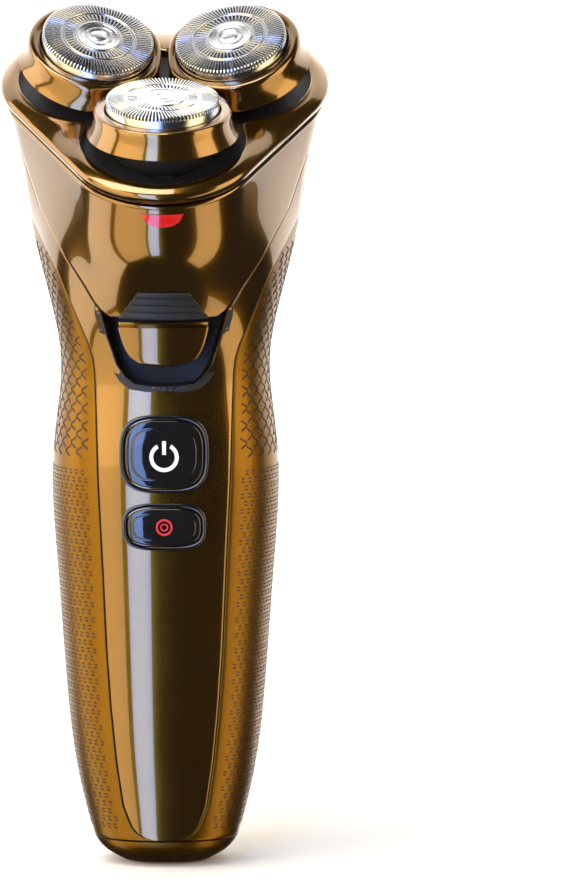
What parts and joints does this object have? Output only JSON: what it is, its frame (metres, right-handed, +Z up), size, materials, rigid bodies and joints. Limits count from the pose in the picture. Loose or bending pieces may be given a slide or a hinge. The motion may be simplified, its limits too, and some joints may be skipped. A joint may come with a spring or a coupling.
{
  "type": "rotary shaver",
  "caption": "Cordless rotary shaver with tilted pivoting cutter heads on a lift-off neck, a flared grip with a gloss front panel, and push buttons; stands on its foot.",
  "frame": {"origin": "centre of the flat foot the shaver stands on", "axes": "+Z up along the handle, -Y towards the front panel and buttons, +X to the right seen from the front"},
  "size_m": [0.0632, 0.0563, 0.1653],
  "materials": {
    "shell_gold": "satin metallic lacquer with a fine moulded grip texture",
    "gloss_gold": "high-gloss metallic lacquer",
    "black_gloss": "high gloss",
    "black_matte": "fine matt",
    "grey_plastic": "matt",
    "white_plastic": "matt",
    "steel": "polished and slotted",
    "brushed": "brushed",
    "silver_trim": "satin with a bright ring",
    "red_gloss": "high gloss",
    "symbol_white": "printed",
    "symbol_red": "printed",
    "rubber": "matt",
    "battery_wrap": "shrink sleeve",
    "board_green": "solder mask",
    "copper": "enamelled",
    "brass": "turned"
  },
  "bodies": {
    "handle": {"rear_shell": "shell_gold", "front_panel": "gloss_gold", "release_well": "black_matte", "inner_chassis": "black_matte", "shoulder_deck": "black_matte", "battery_cell": "battery_wrap", "battery_tabs": "brushed", "charge_socket": "brushed", "motor_can": "brushed", "circuit_board": "board_green", "tact_switches": "grey_plastic", "motor_end_cap": "grey_plastic", "socket_tongue": "black_matte", "socket_seal": "rubber", "mouth_seal": "rubber", "power_bezel": "black_gloss", "mode_bezel": "black_gloss"},
    "motor_rotor": {"motor_shaft": "brushed", "motor_winding": "copper", "drive_dog": "brass"},
    "power_key": {"power_button": "black_gloss", "power_symbol": "symbol_white"},
    "mode_key": {"mode_button": "black_gloss", "mode_symbol": "symbol_red"},
    "pad": {"release_pad": "gloss_gold"},
    "neck": {"neck_housing": "gloss_gold", "neck_rim": "gloss_gold", "gear_plate": "grey_plastic", "gear_cover": "black_matte", "thumb_ribs": "black_matte", "gear_screws": "brushed", "hinge_pin": "brushed"},
    "sun": {"sun_gear": "white_plastic"},
    "chamber_key": {"chamber_button": "red_gloss"},
    "chamber": {"hair_chamber": "gloss_gold", "lobe_frame": "black_matte"},
    "driven_front": {"driven_gear_front": "white_plastic"},
    "lobe_front": {"lobe_shell_front": "gloss_gold", "lobe_core_front": "black_matte", "cutter_retainer_front": "grey_plastic"},
    "cap_front": {"cutter_cap_front": "steel", "medallion_front": "silver_trim"},
    "cutter_front": {"blade_ring_front": "brushed", "blade_carrier_front": "grey_plastic"},
    "driven_right": {"driven_gear_right": "white_plastic"},
    "lobe_right": {"lobe_shell_right": "gloss_gold", "lobe_core_right": "black_matte", "cutter_retainer_right": "grey_plastic"},
    "cap_right": {"cutter_cap_right": "steel", "medallion_right": "silver_trim"},
    "cutter_right": {"blade_ring_right": "brushed", "blade_carrier_right": "grey_plastic"},
    "driven_left": {"driven_gear_left": "white_plastic"},
    "lobe_left": {"lobe_shell_left": "gloss_gold", "lobe_core_left": "black_matte", "cutter_retainer_left": "grey_plastic"},
    "cap_left": {"cutter_cap_left": "steel", "medallion_left": "silver_trim"},
    "cutter_left": {"blade_ring_left": "brushed", "blade_carrier_left": "grey_plastic"}
  },
  "joints": [
    {"name": "motor_spin", "type": "hinge", "parent": "handle", "child": "motor_rotor", "pos_m": [0, 0.00343, 0.1251], "axis": [0, -0.4695, 0.8829], "continuous": true},
    {"name": "power_press", "type": "slide", "parent": "handle", "child": "power_key", "axis": [0, 1, 0], "range_m": [0, 0.0008], "stiffness_N_per_m": 900},
    {"name": "mode_press", "type": "slide", "parent": "handle", "child": "mode_key", "axis": [0, 1, 0], "range_m": [0, 0.0008], "stiffness_N_per_m": 900},
    {"name": "pad_press", "type": "slide", "parent": "handle", "child": "pad", "axis": [0, 1, 0], "range_m": [0, 0.0012], "stiffness_N_per_m": 1200},
    {"name": "head_lift", "type": "slide", "parent": "handle", "child": "neck", "axis": [0, -0.4695, 0.8829], "range_m": [0, 0.05]},
    {"name": "sun_spin", "type": "hinge", "parent": "neck", "child": "sun", "pos_m": [0, -0.00361, 0.13834], "axis": [0, -0.4695, 0.8829], "continuous": true},
    {"name": "chamber_press", "type": "slide", "parent": "neck", "child": "chamber_key", "axis": [0, 0.8829, 0.4695], "range_m": [0, 0.0008], "stiffness_N_per_m": 900},
    {"name": "chamber_open", "type": "hinge", "parent": "neck", "child": "chamber", "pos_m": [0, 0.01606, 0.15673], "axis": [-1, 0, 0], "range_deg": [0, 95]},
    {"name": "driven_spin_front", "type": "hinge", "parent": "neck", "child": "driven_front", "pos_m": [0, -0.01797, 0.13195], "axis": [0, -0.4695, 0.8829], "continuous": true},
    {"name": "lobe_flex_front", "type": "hinge", "parent": "chamber", "child": "lobe_front", "pos_m": [0, -0.02381, 0.14292], "axis": [1, 0, 0], "range_deg": [-3, 3], "stiffness_Nm_per_rad": 0.6},
    {"name": "cap_float_front", "type": "slide", "parent": "lobe_front", "child": "cap_front", "axis": [0, 0.289, -0.9573], "range_m": [0, 0.001], "stiffness_N_per_m": 600},
    {"name": "cutter_spin_front", "type": "hinge", "parent": "cap_front", "child": "cutter_front", "pos_m": [0, -0.02485, 0.14637], "axis": [0, -0.289, 0.9573], "continuous": true},
    {"name": "driven_spin_right", "type": "hinge", "parent": "neck", "child": "driven_right", "pos_m": [0.01358, 0.0028, 0.14299], "axis": [0, -0.4695, 0.8829], "continuous": true},
    {"name": "lobe_flex_right", "type": "hinge", "parent": "chamber", "child": "lobe_right", "pos_m": [0.01358, -0.00304, 0.15396], "axis": [-0.5, 0.7647, 0.4066], "range_deg": [-3, 3], "stiffness_Nm_per_rad": 0.6},
    {"name": "cap_float_right", "type": "slide", "parent": "lobe_right", "child": "cap_right", "axis": [0.1682, 0.5463, -0.8205], "range_m": [0, 0.001], "stiffness_N_per_m": 600},
    {"name": "cutter_spin_right", "type": "hinge", "parent": "cap_right", "child": "cutter_right", "pos_m": [0.01298, -0.005, 0.15692], "axis": [-0.1682, -0.5463, 0.8205], "continuous": true},
    {"name": "driven_spin_left", "type": "hinge", "parent": "neck", "child": "driven_left", "pos_m": [-0.01358, 0.0028, 0.14299], "axis": [0, -0.4695, 0.8829], "continuous": true},
    {"name": "lobe_flex_left", "type": "hinge", "parent": "chamber", "child": "lobe_left", "pos_m": [-0.01358, -0.00304, 0.15396], "axis": [-0.5, -0.7647, -0.4066], "range_deg": [-3, 3], "stiffness_Nm_per_rad": 0.6},
    {"name": "cap_float_left", "type": "slide", "parent": "lobe_left", "child": "cap_left", "axis": [-0.1682, 0.5463, -0.8205], "range_m": [0, 0.001], "stiffness_N_per_m": 600},
    {"name": "cutter_spin_left", "type": "hinge", "parent": "cap_left", "child": "cutter_left", "pos_m": [-0.01298, -0.005, 0.15692], "axis": [0.1682, -0.5463, 0.8205], "continuous": true}
  ],
  "couplings": [
    {"joint": "sun_spin", "follows": "motor_spin", "ratio": 1},
    {"joint": "driven_spin_front", "follows": "motor_spin", "ratio": -1.5},
    {"joint": "cutter_spin_front", "follows": "motor_spin", "ratio": -1.5},
    {"joint": "driven_spin_right", "follows": "motor_spin", "ratio": -1.5},
    {"joint": "cutter_spin_right", "follows": "motor_spin", "ratio": -1.5},
    {"joint": "driven_spin_left", "follows": "motor_spin", "ratio": -1.5},
    {"joint": "cutter_spin_left", "follows": "motor_spin", "ratio": -1.5}
  ]
}
